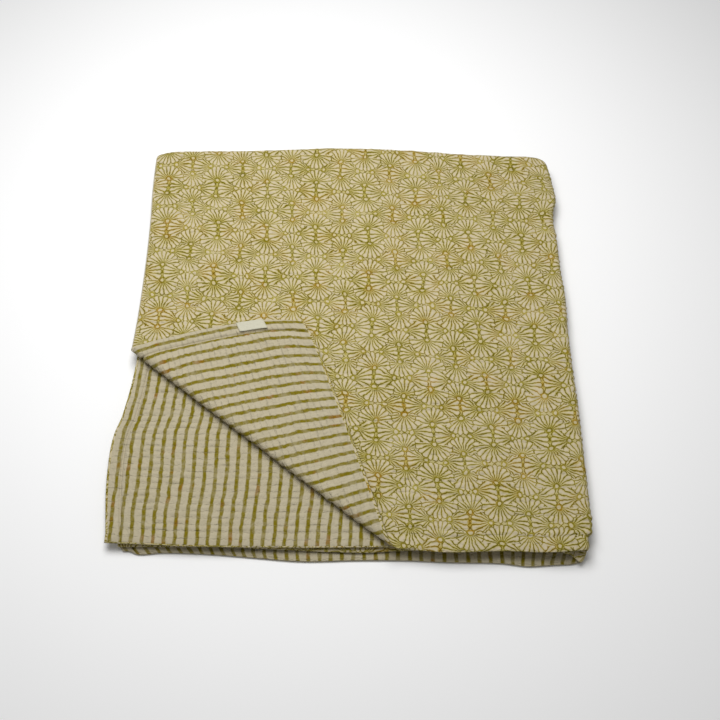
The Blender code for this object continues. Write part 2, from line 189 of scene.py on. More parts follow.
# Colours
PRINT_IVORY = ((0.475, 0.405, 0.275), (0.590, 0.508, 0.358))
PRINT_OLIVE = ((0.215, 0.170, 0.001), (0.128, 0.101, 0.001))
PRINT_RUST = (0.32, 0.145, 0.003)
PRINT_THIN = (0.425, 0.362, 0.078)
PRINT_THICK = (0.125, 0.096, 0.001)
PRINT_THREAD = (0.52, 0.46, 0.28)
# painted shade in the grooves beside the stitch rows of the printed cloth
PRINT_GROOVE_SHADE = (0.130, 0.112, 0.045)
STRIPE_IVORY = ((0.405, 0.356, 0.238), (0.505, 0.446, 0.314))
STRIPE_OLIVE = (0.180, 0.140, 0.001)
STRIPE_RUST = (0.24, 0.102, 0.003)
STRIPE_THREAD = (0.46, 0.40, 0.25)
# painted shade in the grooves beside the stitch rows of the striped cloth
STRIPE_GROOVE_SHADE = (0.115, 0.098, 0.045)
TAPE = ((0.49, 0.47, 0.36), (0.60, 0.58, 0.46))
TAPE_END = (0.50, 0.46, 0.32)
FLOOR = (0.93, 0.93, 0.93)

# Studio
FLOOR_REACH = 6.0
FLOOR_TOP = -0.0002
WORLD_STRENGTH = 0.25
LIGHT_PLACE = (-0.12, 0.24, 0.95)
LIGHT_SIZE = 0.6
LIGHT_WATTS = 10.3
CAMERA_PLACE = (0.0128, -0.4558, 0.865)
CAMERA_DOWN = 63.8        # degrees below level
CAMERA_LENS = 42
CAMERA_SENSOR = 36

# How far each hem stands out past its line, as (place, out) along y or x
LEFT_HEM_1A = [
    (-0.255, -0.0160), (-0.235, -0.0082), (-0.205, -0.0006), (-0.172, 0.0030), (-0.120, 0.0052),
    (-0.075, 0.0042), (-0.030, 0.0000), (0.020, -0.0025), (0.080, -0.0032), (0.150, -0.0022),
    (0.200, 0.0000), (0.252, 0.0003),
]
LEFT_HEM_2A = [
    (-0.245, 0.0028), (-0.200, 0.0082), (-0.155, 0.0097), (-0.130, 0.0074), (-0.108, 0.0016),
    (-0.060, -0.0047), (0.000, -0.0072), (0.120, -0.0060), (0.252, -0.0040),
]
LEFT_HEM_2B = [
    (-0.255, -0.0100), (-0.150, -0.0075), (0.000, -0.0060), (0.120, -0.0055), (0.252, -0.0040),
]
LEFT_HEM_1B = [
    (-0.259, -0.0150), (-0.251, -0.0090), (-0.150, -0.0050), (0.000, -0.0060), (0.120, -0.0040),
    (0.252, 0.0003),
]
FRONT_HEM_1A = [
    (-0.247, -0.0280), (-0.220, -0.0225), (-0.110, -0.0130), (0.020, -0.0050), (0.060, -0.0030),
    (0.100, 0.0002), (0.155, -0.0010), (0.210, 0.0004), (0.2447, -0.0015),
]
FRONT_HEM_2A = [
    (-0.250, -0.0109), (-0.202, -0.0088), (-0.151, -0.0068), (-0.049, -0.0057), (0.100, -0.0060),
    (0.2447, -0.0015),
]
FRONT_HEM_2B = [
    (-0.240, -0.0120), (-0.120, -0.0110), (0.010, -0.0060), (0.060, -0.0080), (0.190, -0.0080),
    (0.2290, -0.0050), (0.2447, 0.0036),
]
FRONT_HEM_1B = [
    (-0.240, -0.0085), (-0.230, -0.0052), (-0.204, -0.0068), (-0.152, -0.0052), (-0.101, -0.0016),
    (-0.049, 0.0020), (0.010, 0.0009), (0.060, 0.0012), (0.104, 0.0030), (0.155, 0.0040),
    (0.186, 0.0071), (0.217, 0.0058), (0.237, 0.0050), (0.2447, 0.0036),
]
# How far the two outer folds stand out past their lines
RIGHT_EDGE = [
    (-0.262, -0.0100), (-0.257, -0.0075), (-0.250, -0.0050), (-0.240, -0.0052), (-0.236, -0.0008),
    (-0.200, 0.0002), (-0.100, 0.0010), (-0.040, 0.0000), (0.000, 0.0000), (0.042, 0.0018),
    (0.080, 0.0000), (0.126, 0.0002), (0.155, -0.0014), (0.186, 0.0046), (0.217, 0.0030),
    (0.262, -0.0020),
]
BACK_EDGE = [
    (-0.250, -0.0100), (-0.240, -0.0040), (-0.224, -0.0009), (-0.142, 0.0000), (-0.069, 0.0024),
    (-0.007, 0.0040), (0.083, 0.0000), (0.140, -0.0050), (0.216, -0.0098), (0.240, -0.0147),
    (0.250, -0.0210),
]
# How far the stripes stray from the hem, along the cloth
STRIPE_DRIFT_1A = [
    (-0.255, 0.0074), (-0.225, 0.0056), (-0.173, 0.0036), (-0.121, 0.0034), (-0.030, 0.0020),
]
STRIPE_DRIFT_2A = [
    (-0.250, -0.0010), (-0.225, 0.0008), (-0.190, 0.0052), (-0.150, 0.0056), (-0.110, 0.0035),
    (0.000, 0.0000),
]
# Long soft waves over the stack: share of its height, radians a metre across and along, phase
ROLLS = [(0.022, 17, 5, 0.6), (0.018, -7, 21, 2.0)]
# Uneven waves over it: share of its height, half their length, seed
SWELLS = [(0.026, 0.034, 3), (0.014, 0.013, 4)]

# What the sizes above give
HALF = THICK / 2
REST_RADIUS = (THICK + GAP) / 2
RIGHT_RADIUS = REST_RADIUS + RIGHT_SWELL
RIGHT_ARC = math.pi * RIGHT_RADIUS
BACK_ARC = math.pi * BACK_ROLL
ACROSS_END = 2 * RIGHT_BEND + RIGHT_ARC - LEFT
ALONG_END = 2 * BACK_BEND + BACK_ARC - FRONT_LOWER
TURN_LENGTH = math.hypot(TURN_FRONT[0] - TURN_LEFT[0], TURN_FRONT[1] - TURN_LEFT[1])
TURN_DIRECTION = ((TURN_FRONT[0] - TURN_LEFT[0]) / TURN_LENGTH,
                  (TURN_FRONT[1] - TURN_LEFT[1]) / TURN_LENGTH)
TURN_OUTWARD = (TURN_DIRECTION[1], -TURN_DIRECTION[0])
TURN_START = -(TURN_RADIUS + HALF)
TURN_ARC = math.pi * TURN_RADIUS


def smooth(value):
    """Ease from 0 to 1, held at both ends."""
    value = np.clip(value, 0.0, 1.0)
    return value * value * (3 - 2 * value)


def uneven(table, at):
    """Smooth curve through a table's rows, level past its ends."""
    places = np.array([row[0] for row in table])
    outs = np.array([row[1] for row in table])
    last = len(table) - 1
    before = np.maximum(np.arange(last + 1) - 1, 0)
    after = np.minimum(np.arange(last + 1) + 1, last)
    slopes = (outs[after] - outs[before]) / (places[after] - places[before])
    row = np.clip(np.searchsorted(places, at, side="right") - 1, 0, last - 1)
    span = places[row + 1] - places[row]
    u = np.clip((at - places[row]) / span, 0, 1)
    return ((2 * u**3 - 3 * u**2 + 1) * outs[row] + (u**3 - 2 * u**2 + u) * slopes[row] * span
            + (3 * u**2 - 2 * u**3) * outs[row + 1] + (u**3 - u**2) * slopes[row + 1] * span)


def scatter(column, row, seed):
    """A number from 0 to 1 for each whole place."""
    mixed = (column.astype(np.int64) * 374761393 + row.astype(np.int64) * 668265263
             + seed * 2246822519) & 0xFFFFFFFF
    mixed = ((mixed ^ (mixed >> 13)) * 1274126177) & 0xFFFFFFFF
    return ((mixed ^ (mixed >> 16)) & 0xFFFF) / 65535.0


def ripple(x, y, seed):
    """Smooth uneven waves from -1 to 1, about two units from crest to crest."""
    column, row = np.floor(x), np.floor(y)
    u, v = smooth(x - column), smooth(y - row)
    low = scatter(column, row, seed) * (1 - u) + scatter(column + 1, row, seed) * u
    high = scatter(column, row + 1, seed) * (1 - u) + scatter(column + 1, row + 1, seed) * u
    return 2 * (low * (1 - v) + high * v) - 1


def plan_x(across):
    """Where a line across the cloth lies once the right half is folded under."""
    return np.where(across <= RIGHT_BEND, across,
                    np.minimum(RIGHT_BEND, 2 * RIGHT_BEND + RIGHT_ARC - across))


def plan_y(along):
    """Where a line along the cloth lies once the back half is folded under."""
    return np.where(along <= BACK_BEND, along,
                    np.minimum(BACK_BEND, 2 * BACK_BEND + BACK_ARC - along))


def cut_uneven(across, along):
    """Move points of the straight cloth to where its uneven hems put them."""
    x, y = plan_x(across), plan_y(along)
    under = across > RIGHT_BEND + RIGHT_ARC / 2
    lower = along > BACK_BEND + BACK_ARC / 2
    left = np.where(lower,
                    np.where(under, uneven(LEFT_HEM_2B, y), uneven(LEFT_HEM_1B, y)),
                    np.where(under, uneven(LEFT_HEM_2A, y), uneven(LEFT_HEM_1A, y)))
    front = np.where(lower,
                     np.where(under, uneven(FRONT_HEM_2B, x), uneven(FRONT_HEM_1B, x)),
                     np.where(under, uneven(FRONT_HEM_2A, x), uneven(FRONT_HEM_1A, x)))
    front_line = np.where(lower, FRONT_LOWER, FRONT_UPPER)
    out_left = left * smooth(1 - (x - LEFT) / HEM_REACH)
    out_front = front * smooth(1 - (y - front_line) / HEM_REACH)
    return (np.where(under, across + out_left, across - out_left),
            np.where(lower, along + out_front, along - out_front))


def rim_distance(across, along):
    """Distance inwards from the nearest hem's edge."""
    return np.minimum(np.minimum(across - LEFT, ACROSS_END - across),
                      np.minimum(along - FRONT_UPPER, ALONG_END - along))


def turn_distance(across, along):
    """Distance outwards from the turned corner's fold line."""
    return (across - TURN_LEFT[0]) * TURN_OUTWARD[0] + (along - TURN_LEFT[1]) * TURN_OUTWARD[1]


def shown_share(across, along, side):
    """1 where a face of the cloth is in the open, and less where leaf lies on leaf."""
    first = across < RIGHT_BEND + RIGHT_ARC / 2
    upper = along < BACK_BEND + BACK_ARC / 2
    bared = smooth((turn_distance(plan_x(across), along) - BARED_START) / BARED_FADE)
    bared = np.where(upper & (plan_x(across) < FLAP_RIGHT), bared, 0.0)
    if side > 0:
        return np.where(first, 1.0 - 0.4 * bared, 0.0)
    return bared


def half_thickness(across, along, side):
    """Distance from the middle of the cloth to one of its faces, with its stitch rows."""
    edge = rim_distance(across, along)
    shown = shown_share(across, along, side)
    share = HIDDEN_RELIEF + (1 - HIDDEN_RELIEF) * shown
    wander = ROW_WANDER * ripple(across / ROW_WAVE_ACROSS, along / ROW_WAVE_ALONG, 3)
    row = (along + wander - FRONT_UPPER - HEM) / ROW_PITCH
    number = np.floor(row)
    between = np.abs((row - number) - 0.5) * 2
    firm = ROW_FIRM + ROW_FIRM * ripple(across / ROW_FIRM_WAVE + 3.7 * number, number, 5)
    swell = (ROW_RISE - (ROW_RISE + ROW_DIP) * between**2) * firm * share
    puffs = ripple(across / (PUFF_LENGTH / 2) + 5.3 * number, number + 0.5, 11 + side)
    swell += PUFF * puffs * (1 - between**2) * shown
    swell += CRUMPLE * ripple(across / CRUMPLE_WAVE, along / CRUMPLE_WAVE, 21 + side) * shown
    quilted = np.where(along > BACK_BEND + BACK_ARC * ROW_END, 0.0, swell)
    from_seam = np.abs(edge - HEM)
    near = smooth((edge - HEM) / SEAM_SIDE)
    half = HALF + quilted * near
    hem_puff = HEM_PUFF * ripple(across / HEM_PUFF_WAVE, along / HEM_PUFF_WAVE, 31 + side)
    hem_puff = hem_puff * (0.3 + 0.7 * shown)
    half = np.where(edge < HEM, HALF - HEM_FLAT + hem_puff * smooth(edge / HEM_PUFF_RISE), half)
    left_seam = np.minimum(np.abs(across - LEFT - HEM), np.abs(ACROSS_END - across - HEM))
    deep = (HEM_DIP_BACK - HEM_DIP) * smooth(1 - left_seam / SEAM_SIDE) if side < 0 else 0.0
    half = half - HEM_DIP * smooth(1 - from_seam / SEAM_SIDE) - deep
    front = np.minimum(along - FRONT_UPPER, ALONG_END - along)
    rim = np.clip(np.minimum(edge / RIM_ROUND, front / FRONT_ROUND), 0, 1)
    return half * np.sqrt(np.maximum(0, 1 - (1 - rim)**2))


def turn_corner(across, along, offset, past_hem):
    """Turn the front left corner up and over its fold line."""
    beyond = turn_distance(across, along) - TURN_START
    turned = (beyond > 0) & (across <= RIGHT_BEND) & (along <= 0)
    angle = np.clip(beyond, 0, TURN_ARC) / TURN_RADIUS
    radius = TURN_RADIUS - offset
    back = np.maximum(beyond - TURN_ARC, 0)
    rest = THICK + FLAP_GAP
    settled = rest + (2 * TURN_RADIUS - rest) * (1 - smooth(back / TURN_SETTLE)) - offset
    fade = (FLAP_PUFF_REACH - past_hem) / (FLAP_PUFF_REACH - FLAP_PUFF_START)
    settled = settled + (FLAP_PUFF * smooth(past_hem / FLAP_PUFF_RISE) * smooth(fade)
                         * smooth(back / FLAP_PUFF_FOLD))
    turning = beyond < TURN_ARC
    reached = np.where(turning, radius * np.sin(angle), -back)
    height = np.where(turning, TURN_RADIUS - radius * np.cos(angle), settled)
    move = np.where(turned, reached - beyond, 0.0)
    return (across + TURN_OUTWARD[0] * move, along + TURN_OUTWARD[1] * move,
            np.where(turned, height, offset))


def right_gap(x):
    """Half the distance between the middles of the two leaves that the right fold joins."""
    return REST_RADIUS + RIGHT_SWELL * smooth(1 - (RIGHT_BEND - x) / RIGHT_SWELL_REACH)


def fold_right(across, height):
    """Fold the right half under. Heights are from the middle of the pair."""
    angle = np.clip((across - RIGHT_BEND) / RIGHT_RADIUS, 0, math.pi)
    radius = RIGHT_RADIUS + height
    back = 2 * RIGHT_BEND + RIGHT_ARC - across
    x = np.where(across <= RIGHT_BEND, across,
                 np.where(angle < math.pi, RIGHT_BEND + radius * np.sin(angle), back))
    level = np.where(across <= RIGHT_BEND, right_gap(across) + height,
                     np.where(angle < math.pi, radius * np.cos(angle), -right_gap(back) - height))
    return x, level


def fold_back(along, x, height):
    """Fold the back half of the pair under and set the lowest leaf flat on the surface."""
    gap = right_gap(np.minimum(x, RIGHT_BEND))
    depth = plan_y(along)
    swell = BACK_SWELL * smooth(1 - (BACK_BEND - depth) / BACK_SWELL_REACH)
    lift = gap + HALF + GAP / 2 + swell
    radius = lift + height
    bottom = lift + gap + HALF
    angle = np.clip((along - BACK_BEND) / BACK_ROLL, 0, math.pi)
    y = np.where(along <= BACK_BEND, along,
                 np.where(angle < math.pi, BACK_BEND + radius * np.sin(angle), depth))
    z = np.where(along <= BACK_BEND, bottom + radius,
                 np.where(angle < math.pi, bottom + radius * np.cos(angle), bottom - radius))
    return y, z


def lie_uneven(x, y, z):
    """Let the outer folds wander, round the corners and let the top roll gently."""
    out_right = uneven(RIGHT_EDGE, y) * smooth(1 - (RIGHT_BEND - x) / EDGE_REACH)
    out_back = uneven(BACK_EDGE, x) * smooth(1 - (BACK_BEND - y) / EDGE_REACH)
    rise = sum(share * np.sin(across * x + along * y + phase)
               for share, across, along, phase in ROLLS)
    rise = rise + sum(share * ripple(x / length, y / length, seed)
                      for share, length, seed in SWELLS)
    return x + out_right - MIDDLE[0], y + out_back - MIDDLE[1], z * (1 + rise)


def folded(across, along, offset, past_hem):
    """Place points of the unevenly cut cloth, given their height over the cloth's middle."""
    across, along, height = turn_corner(across, along, offset, past_hem)
    x, height = fold_right(across, height)
    y, z = fold_back(along, x, height)
    x, y, z = lie_uneven(x, y, z)
    return np.stack([x, y, np.where(z < LEVEL, 0.0, z)], axis=1)


def lines_between(start, end, step):
    """Even lines from start up to but not including end, about a step apart."""
    count = max(1, round(abs(end - start) / step))
    return [start + (end - start) * index / count for index in range(count)]


def across_lines():
    """Lines from front to back, fine where the cloth shows."""
    hem_side = [LEFT + step for step in RIM_STEPS]
    hem_side += lines_between(LEFT + RIM_ROUND, LEFT + HEM - SEAM_SIDE, STEP)
    hem_side += lines_between(LEFT + HEM - SEAM_SIDE, LEFT + HEM + SEAM_SIDE, SEAM_SIDE / 2)
    first = hem_side + lines_between(LEFT + HEM + SEAM_SIDE, RIGHT_BEND, STEP)
    bend = lines_between(RIGHT_BEND, RIGHT_BEND + RIGHT_ARC, RIGHT_ARC / BEND_STEPS)
    mirror = 2 * RIGHT_BEND + RIGHT_ARC
    second = lines_between(mirror - RIGHT_BEND, mirror - FLAP_RIGHT, COARSE)
    second += lines_between(mirror - FLAP_RIGHT, ACROSS_END - HEM - SEAM_SIDE, STEP)
    second += [mirror - place for place in reversed(hem_side)]
    second[-len(hem_side)] = ACROSS_END - HEM - SEAM_SIDE / 2
    second.insert(-len(hem_side), ACROSS_END - HEM - SEAM_SIDE)
    return sorted(set(round(place, 7) for place in first + bend + second))


def along_lines():
    """Lines from side to side: three to a stitch row on the upper leaves."""
    start = FRONT_UPPER + HEM
    hem_part = list(RIM_STEPS) + lines_between(RIM_ROUND, HEM - SEAM_SIDE, STEP)
    hem_part += [HEM - SEAM_SIDE, HEM - SEAM_SIDE / 2, HEM, HEM + SEAM_SIDE / 2]
    rows = int((BACK_BEND - start) / (ROW_PITCH / 3))
    upper = [FRONT_UPPER + place for place in hem_part]
    upper += [start + ROW_PITCH / 3 * step for step in range(1, rows + 1)]
    bend = lines_between(BACK_BEND, BACK_BEND + BACK_ARC, BACK_ARC / BEND_STEPS)
    fine_start, fine_end = ALONG_END - LOWER_FINE, ALONG_END - HEM - SEAM_SIDE
    lower = lines_between(BACK_BEND + BACK_ARC, fine_start, COARSE)
    lower += lines_between(fine_start, fine_end, LOWER_STEP)
    lower += [fine_end] + [ALONG_END - place for place in reversed(hem_part)]
    return sorted(set(round(place, 7) for place in upper + bend + lower))


def flat_cloth():
    """One flat sheet of cells: its points' straight places, their cut places, and its faces."""
    across, along = np.array(across_lines()), np.array(along_lines())
    wide, high = len(across), len(along)
    straight = np.stack(np.meshgrid(across, along), axis=-1).reshape(-1, 2)
    cut_across, cut_along = cut_uneven(straight[:, 0], straight[:, 1])
    corner = (np.arange(wide - 1)[None, :] + wide * np.arange(high - 1)[:, None]).reshape(-1)
    faces = np.stack([corner, corner + 1, corner + wide + 1, corner + wide], axis=1)
    data = bpy.data.meshes.new("flat")
    places = np.stack([cut_across, cut_along, np.zeros(len(straight))], axis=1)
    data.from_pydata(places.tolist(), [], faces.tolist())
    mesh = bmesh.new()
    mesh.from_mesh(data)
    bpy.data.meshes.remove(data)
    layers = [mesh.verts.layers.float.new(name) for name in ("straight_across", "straight_along")]
    for point, (one, other) in zip(mesh.verts, straight.tolist()):
        point[layers[0]] = one
        point[layers[1]] = other
    for step in range(TURN_STEPS + 1):
        line = TURN_START + TURN_ARC * step / TURN_STEPS
        place = (TURN_LEFT[0] + TURN_OUTWARD[0] * line, TURN_LEFT[1] + TURN_OUTWARD[1] * line, 0)
        near = []
        for face in mesh.faces:
            x, y, _ = face.calc_center_median()
            if x < RIGHT_BEND and y < TURN_BACK and abs(turn_distance(x, y) - line) < TURN_CELLS:
                near.append(face)
        edges = {edge for face in near for edge in face.edges}
        points = {point for face in near for point in face.verts}
        bmesh.ops.bisect_plane(mesh, geom=[*points, *edges, *near], dist=CUT_JOIN,
                               plane_co=place, plane_no=(*TURN_OUTWARD, 0))
    large = [face for face in mesh.faces if len(face.verts) > 4]
    bmesh.ops.triangulate(mesh, faces=large)
    mesh.verts.ensure_lookup_table()
    mesh.verts.index_update()
    cut_places = np.array([point.co[:2] for point in mesh.verts])
    straight = np.array([(point[layers[0]], point[layers[1]]) for point in mesh.verts])
    faces = [[point.index for point in face.verts] for face in mesh.faces]
    mesh.free()
    return straight, cut_places, faces


def pattern_places(straight, cut_places, side):
    """Places on each cloth for its pattern, in metres, as long as the cloth really is."""
    across, along = straight[:, 0], straight[:, 1]
    beyond = turn_distance(cut_places[:, 0], cut_places[:, 1]) - TURN_START
    corner = (cut_places[:, 0] < RIGHT_BEND) & (cut_places[:, 1] < 0)
    turn = np.where(corner, np.clip(beyond, 0, TURN_ARC) / TURN_RADIUS, 0.0)
    right = np.clip((across - RIGHT_BEND) / RIGHT_RADIUS, 0, math.pi)
    back = np.clip((along - BACK_BEND) / BACK_ROLL, 0, math.pi)
    outer = np.where(across < RIGHT_BEND + RIGHT_ARC / 2, 1.0, -1.0)
    back_radius = REST_RADIUS + HALF + GAP / 2 + BACK_SWELL + outer * (REST_RADIUS + side * HALF)
    u = across - side * HALF * turn * TURN_OUTWARD[0] + side * HALF * right
    v = along - side * HALF * turn * TURN_OUTWARD[1] + (back_radius - BACK_ROLL) * back
    if side < 0:
        first = LEFT + (u - LEFT) * STRIPE_EASE_1A + uneven(STRIPE_DRIFT_1A, along)
        second = ACROSS_END + (u - ACROSS_END) * STRIPE_EASE_2A + uneven(STRIPE_DRIFT_2A, along)
        u = np.where(outer > 0, first, second)
    return np.stack([u, v, np.full(len(u), float(side))], axis=1)


def in_scene(name, data):
    """Put an object with this data into the scene."""
    thing = bpy.data.objects.new(name, data)
    bpy.context.scene.collection.objects.link(thing)
    return thing


def make_cloths():
    """Fold the two cloths of the quilt, joined along their hems, and give them as two pieces."""
    straight, cut_places, flat_faces = flat_cloth()
    across, along = straight[:, 0], straight[:, 1]
    count = len(across)
    places, patterns = [], []
    for side in (1, -1):
        half = half_thickness(across, along, side)
        places.append(folded(cut_places[:, 0], cut_places[:, 1], side * half, across - LEFT - HEM))
        patterns.append(pattern_places(straight, cut_places, side))
    places, patterns = np.concatenate(places), np.concatenate(patterns)
    on_rim = rim_distance(across, along) < ON_RIM
    under = np.where(on_rim, np.arange(count), np.arange(count) + count)
    faces = {1: [], -1: []}
    for corners in flat_faces:
        middle_across = sum(across[point] for point in corners) / len(corners)
        middle_along = sum(along[point] for point in corners) / len(corners)
        left_hem = middle_across - LEFT < WRAP
        second_hem = ACROSS_END - middle_across < WRAP_2A
        front_wrap = WRAP_FRONT if middle_across < RIGHT_BEND else WRAP
        front_hem = middle_along - FRONT_UPPER < front_wrap
        faces[-1 if left_hem and not front_hem else 1].append(corners)
        below = [int(under[point]) for point in reversed(corners)]
        faces[1 if front_hem or second_hem else -1].append(below)
    pieces = []
    for name, side in (("quilt_face_cloth", 1), ("quilt_back_cloth", -1)):
        used = sorted({point for corners in faces[side] for point in corners})
        number = {point: index for index, point in enumerate(used)}
        data = bpy.data.meshes.new(name)
        data.from_pydata(places[used].tolist(), [],
                         [[number[point] for point in corners] for corners in faces[side]])
        layer = data.attributes.new("cloth", "FLOAT_VECTOR", "POINT")
        layer.data.foreach_set("vector", patterns[used].astype(np.float32).ravel())
        data.shade_smooth()
        data.update()
        pieces.append(in_scene(name, data))
    return pieces


def make_label():
    """A woven tape on the turned hem. Its inner long edge stands a little off the cloth."""
    data = bmesh.new()
    bmesh.ops.create_cube(data, size=1)
    bmesh.ops.scale(data, verts=data.verts, vec=(LABEL_WIDTH, LABEL_LENGTH, LABEL_THICK))
    for size, count, normal in ((LABEL_LENGTH, LABEL_CELLS_LONG, (0, 1, 0)),
                                (LABEL_WIDTH, LABEL_CELLS_WIDE, (1, 0, 0))):
        for step in range(1, count):
            place = [value * (step / count - 0.5) * size for value in normal]
            bmesh.ops.bisect_plane(data, geom=[*data.verts, *data.edges, *data.faces],
                                   plane_co=place, plane_no=normal)
    local = np.array([point.co[:] for point in data.verts])
    wide, long = local[:, 0] / LABEL_WIDTH + 0.5, local[:, 1] / LABEL_LENGTH + 0.5
    across = LEFT + LABEL_FROM_EDGE + wide * LABEL_WIDTH
    along = FRONT_UPPER + LABEL_FROM_CORNER + long * LABEL_LENGTH
    lift = LABEL_LIFT * smooth((wide - 0.35) / 0.65) * (0.55 + 0.45 * np.sin(2.2 + 4.2 * long))
    lift += LABEL_SAG * ripple(long * 5, wide * 1.4, 41)
    offset = -HALF - LABEL_CLEAR - LABEL_THICK / 2 + local[:, 2] - np.maximum(lift, LABEL_PRESSED)
    cut_across, cut_along = cut_uneven(across, along)
    places = folded(cut_across, cut_along, offset, np.zeros(len(across)))
    for point, place in zip(data.verts, places.tolist()):
        point.co = place
    bmesh.ops.recalc_face_normals(data, faces=data.faces)
    result = bpy.data.meshes.new("label_tape")
    layer = data.verts.layers.float_vector.new("cloth")
    for point, one, other in zip(data.verts, wide.tolist(), long.tolist()):
        point[layer] = Vector((one * LABEL_WIDTH, other * LABEL_LENGTH, 0))
    data.to_mesh(result)
    data.free()
    result.shade_smooth()
    return in_scene("label_tape", result)


class Shader:
    """Builds a material's nodes from short calls. Values may be numbers or sockets."""

    def __init__(self, name):
        self.material = bpy.data.materials.new(name)
        self.material.use_nodes = True
        self.nodes = self.material.node_tree.nodes
        self.links = self.material.node_tree.links
        self.surface = self.nodes["Principled BSDF"]

    def feed(self, socket, value):
        if isinstance(value, bpy.types.NodeSocket):
            self.links.new(value, socket)
        else:
            socket.default_value = value

    def math(self, operation, *values):
        node = self.nodes.new("ShaderNodeMath")
        node.operation = operation
        for socket, value in zip(node.inputs, values):
            self.feed(socket, value)
        return node.outputs[0]

    def add(self, one, other):
        return self.math("ADD", one, other)

    def sub(self, one, other):
        return self.math("SUBTRACT", one, other)

    def mul(self, one, other):
        return self.math("MULTIPLY", one, other)

    def least(self, one, other):
        return self.math("MINIMUM", one, other)

    def most(self, one, other):
        return self.math("MAXIMUM", one, other)

    def length(self, x, y):
        return self.math("SQRT", self.add(self.mul(x, x), self.mul(y, y)))

    def step(self, value, start, end):
        """0 below start and 1 above end, with an eased change between."""
        node = self.nodes.new("ShaderNodeMapRange")
        node.interpolation_type = "SMOOTHSTEP"
        self.feed(node.inputs["Value"], value)
        self.feed(node.inputs["From Min"], start)
        self.feed(node.inputs["From Max"], end)
        return node.outputs["Result"]

    def fade(self, value, start, end):
        """1 below start and 0 above end, with an eased change between."""
        return self.sub(1.0, self.step(value, start, end))

    def blend(self, share, low, high):
        """low where share is 0 and high where it is 1."""
        return self.add(low, self.mul(share, self.sub(high, low)))

    def vector(self, operation, one, other):
        node = self.nodes.new("ShaderNodeVectorMath")
        node.operation = operation
        self.feed(node.inputs[0], one)
        if operation == "SCALE":
            self.feed(node.inputs["Scale"], other)
        else:
            self.feed(node.inputs[1], other)
        return node.outputs[0]

    def split(self, vector):
        node = self.nodes.new("ShaderNodeSeparateXYZ")
        self.feed(node.inputs[0], vector)
        return node.outputs[0], node.outputs[1], node.outputs[2]

    def cloth(self):
        """Place on the flat cloth, in mm."""
        node = self.nodes.new("ShaderNodeAttribute")
        node.attribute_name = "cloth"
        return self.vector("SCALE", node.outputs["Vector"], MM)

    def noise(self, vector, scale, detail=2.0, rough=0.5):
        """An uneven cloud: its height and its colour."""
        node = self.nodes.new("ShaderNodeTexNoise")
        self.feed(node.inputs["Vector"], vector)
        node.inputs["Scale"].default_value = scale
        node.inputs["Detail"].default_value = detail
        node.inputs["Roughness"].default_value = rough
        return node.outputs["Fac"], node.outputs["Color"]

    def shake(self, vector, shakes):
        """Move each place by up to half of each reach, in waves of one over its scale."""
        for scale, reach in shakes:
            colour = self.noise(vector, scale, 1.0)[1]
            centred = self.vector("SUBTRACT", colour, (0.5, 0.5, 0.5))
            vector = self.vector("ADD", vector, self.vector("SCALE", centred, reach))
        return vector

    def mix_colour(self, share, low, high):
        """low where share is 0 and high where it is 1."""
        node = self.nodes.new("ShaderNodeMix")
        node.data_type = "RGBA"
        sockets = [socket for socket in node.inputs if socket.type == "RGBA"]
        factor = next(socket for socket in node.inputs if socket.type == "VALUE")
        self.feed(factor, share)
        for socket, value in zip(sockets, (low, high)):
            self.feed(socket, (*value, 1.0) if isinstance(value, tuple) else value)
        return next(socket for socket in node.outputs if socket.type == "RGBA")

    def bump(self, height, strength):
        """Relief of the surface, from a height in mm."""
        node = self.nodes.new("ShaderNodeBump")
        node.inputs["Strength"].default_value = strength
        node.inputs["Distance"].default_value = 1 / MM
        self.feed(node.inputs["Height"], height)
        self.feed(self.surface.inputs["Normal"], node.outputs["Normal"])

    def finish_cotton(self, place, colour, roughness):
        """Give the surface its colour and a dull, unevenly worn sheen."""
        self.feed(self.surface.inputs["Base Color"], colour)
        worn = self.noise(place, 0.05, 3.0)[0]
        self.feed(self.surface.inputs["Roughness"], self.add(roughness, self.mul(worn, 0.10)))
        self.surface.inputs["Sheen Weight"].default_value = 0.05
        self.surface.inputs["Sheen Roughness"].default_value = 0.5
        self.surface.inputs["Specular IOR Level"].default_value = 0.15


def fan(shader, ahead, aside, reach, widest, ink, line):
    """Print a fan of petals. ahead and aside are mm from its dot, along and off its axis."""
    radius = shader.length(ahead, aside)
    angle = shader.mul(shader.math("ARCTAN2", aside, ahead), 180 / math.pi)
    petal = shader.math("PINGPONG", shader.mul(angle, 1 / PETAL), 0.5)
    width = shader.mul(radius, math.radians(PETAL))
    to_line = shader.mul(shader.sub(0.5, petal), width)
    line = shader.least(line, shader.mul(width, LINE_SHARE))
    sides = shader.fade(to_line, shader.mul(line, 0.30), shader.mul(line, 1.60))
    tip = shader.sub(reach, shader.mul(shader.mul(petal, petal), TIP_ROUND))
    past_tip = shader.sub(radius, tip)
    to_tip = shader.math("ABSOLUTE", shader.add(past_tip, 0.4))
    tips = shader.fade(to_tip, shader.mul(line, 0.5), shader.mul(line, 1.7))
    run = shader.fade(shader.least(to_line, to_tip), 0.3, RUN)
    drawn = shader.most(shader.most(sides, tips), shader.mul(run, RUN_INK))
    inside = shader.mul(shader.math("LESS_THAN", past_tip, 0.0),
                        shader.math("LESS_THAN", angle, widest))
    return shader.blend(inside, ink, drawn)


def dot(shader, ahead, aside, ink, size):
    """A light dot in a printed ring."""
    radius = shader.length(ahead, aside)
    ring = shader.fade(radius, size + 0.2, size + 2.6)
    light = shader.fade(radius, size - 0.7, size + 0.2)
    return shader.blend(light, shader.most(ink, shader.mul(ring, RING_INK)), DOT_INK)


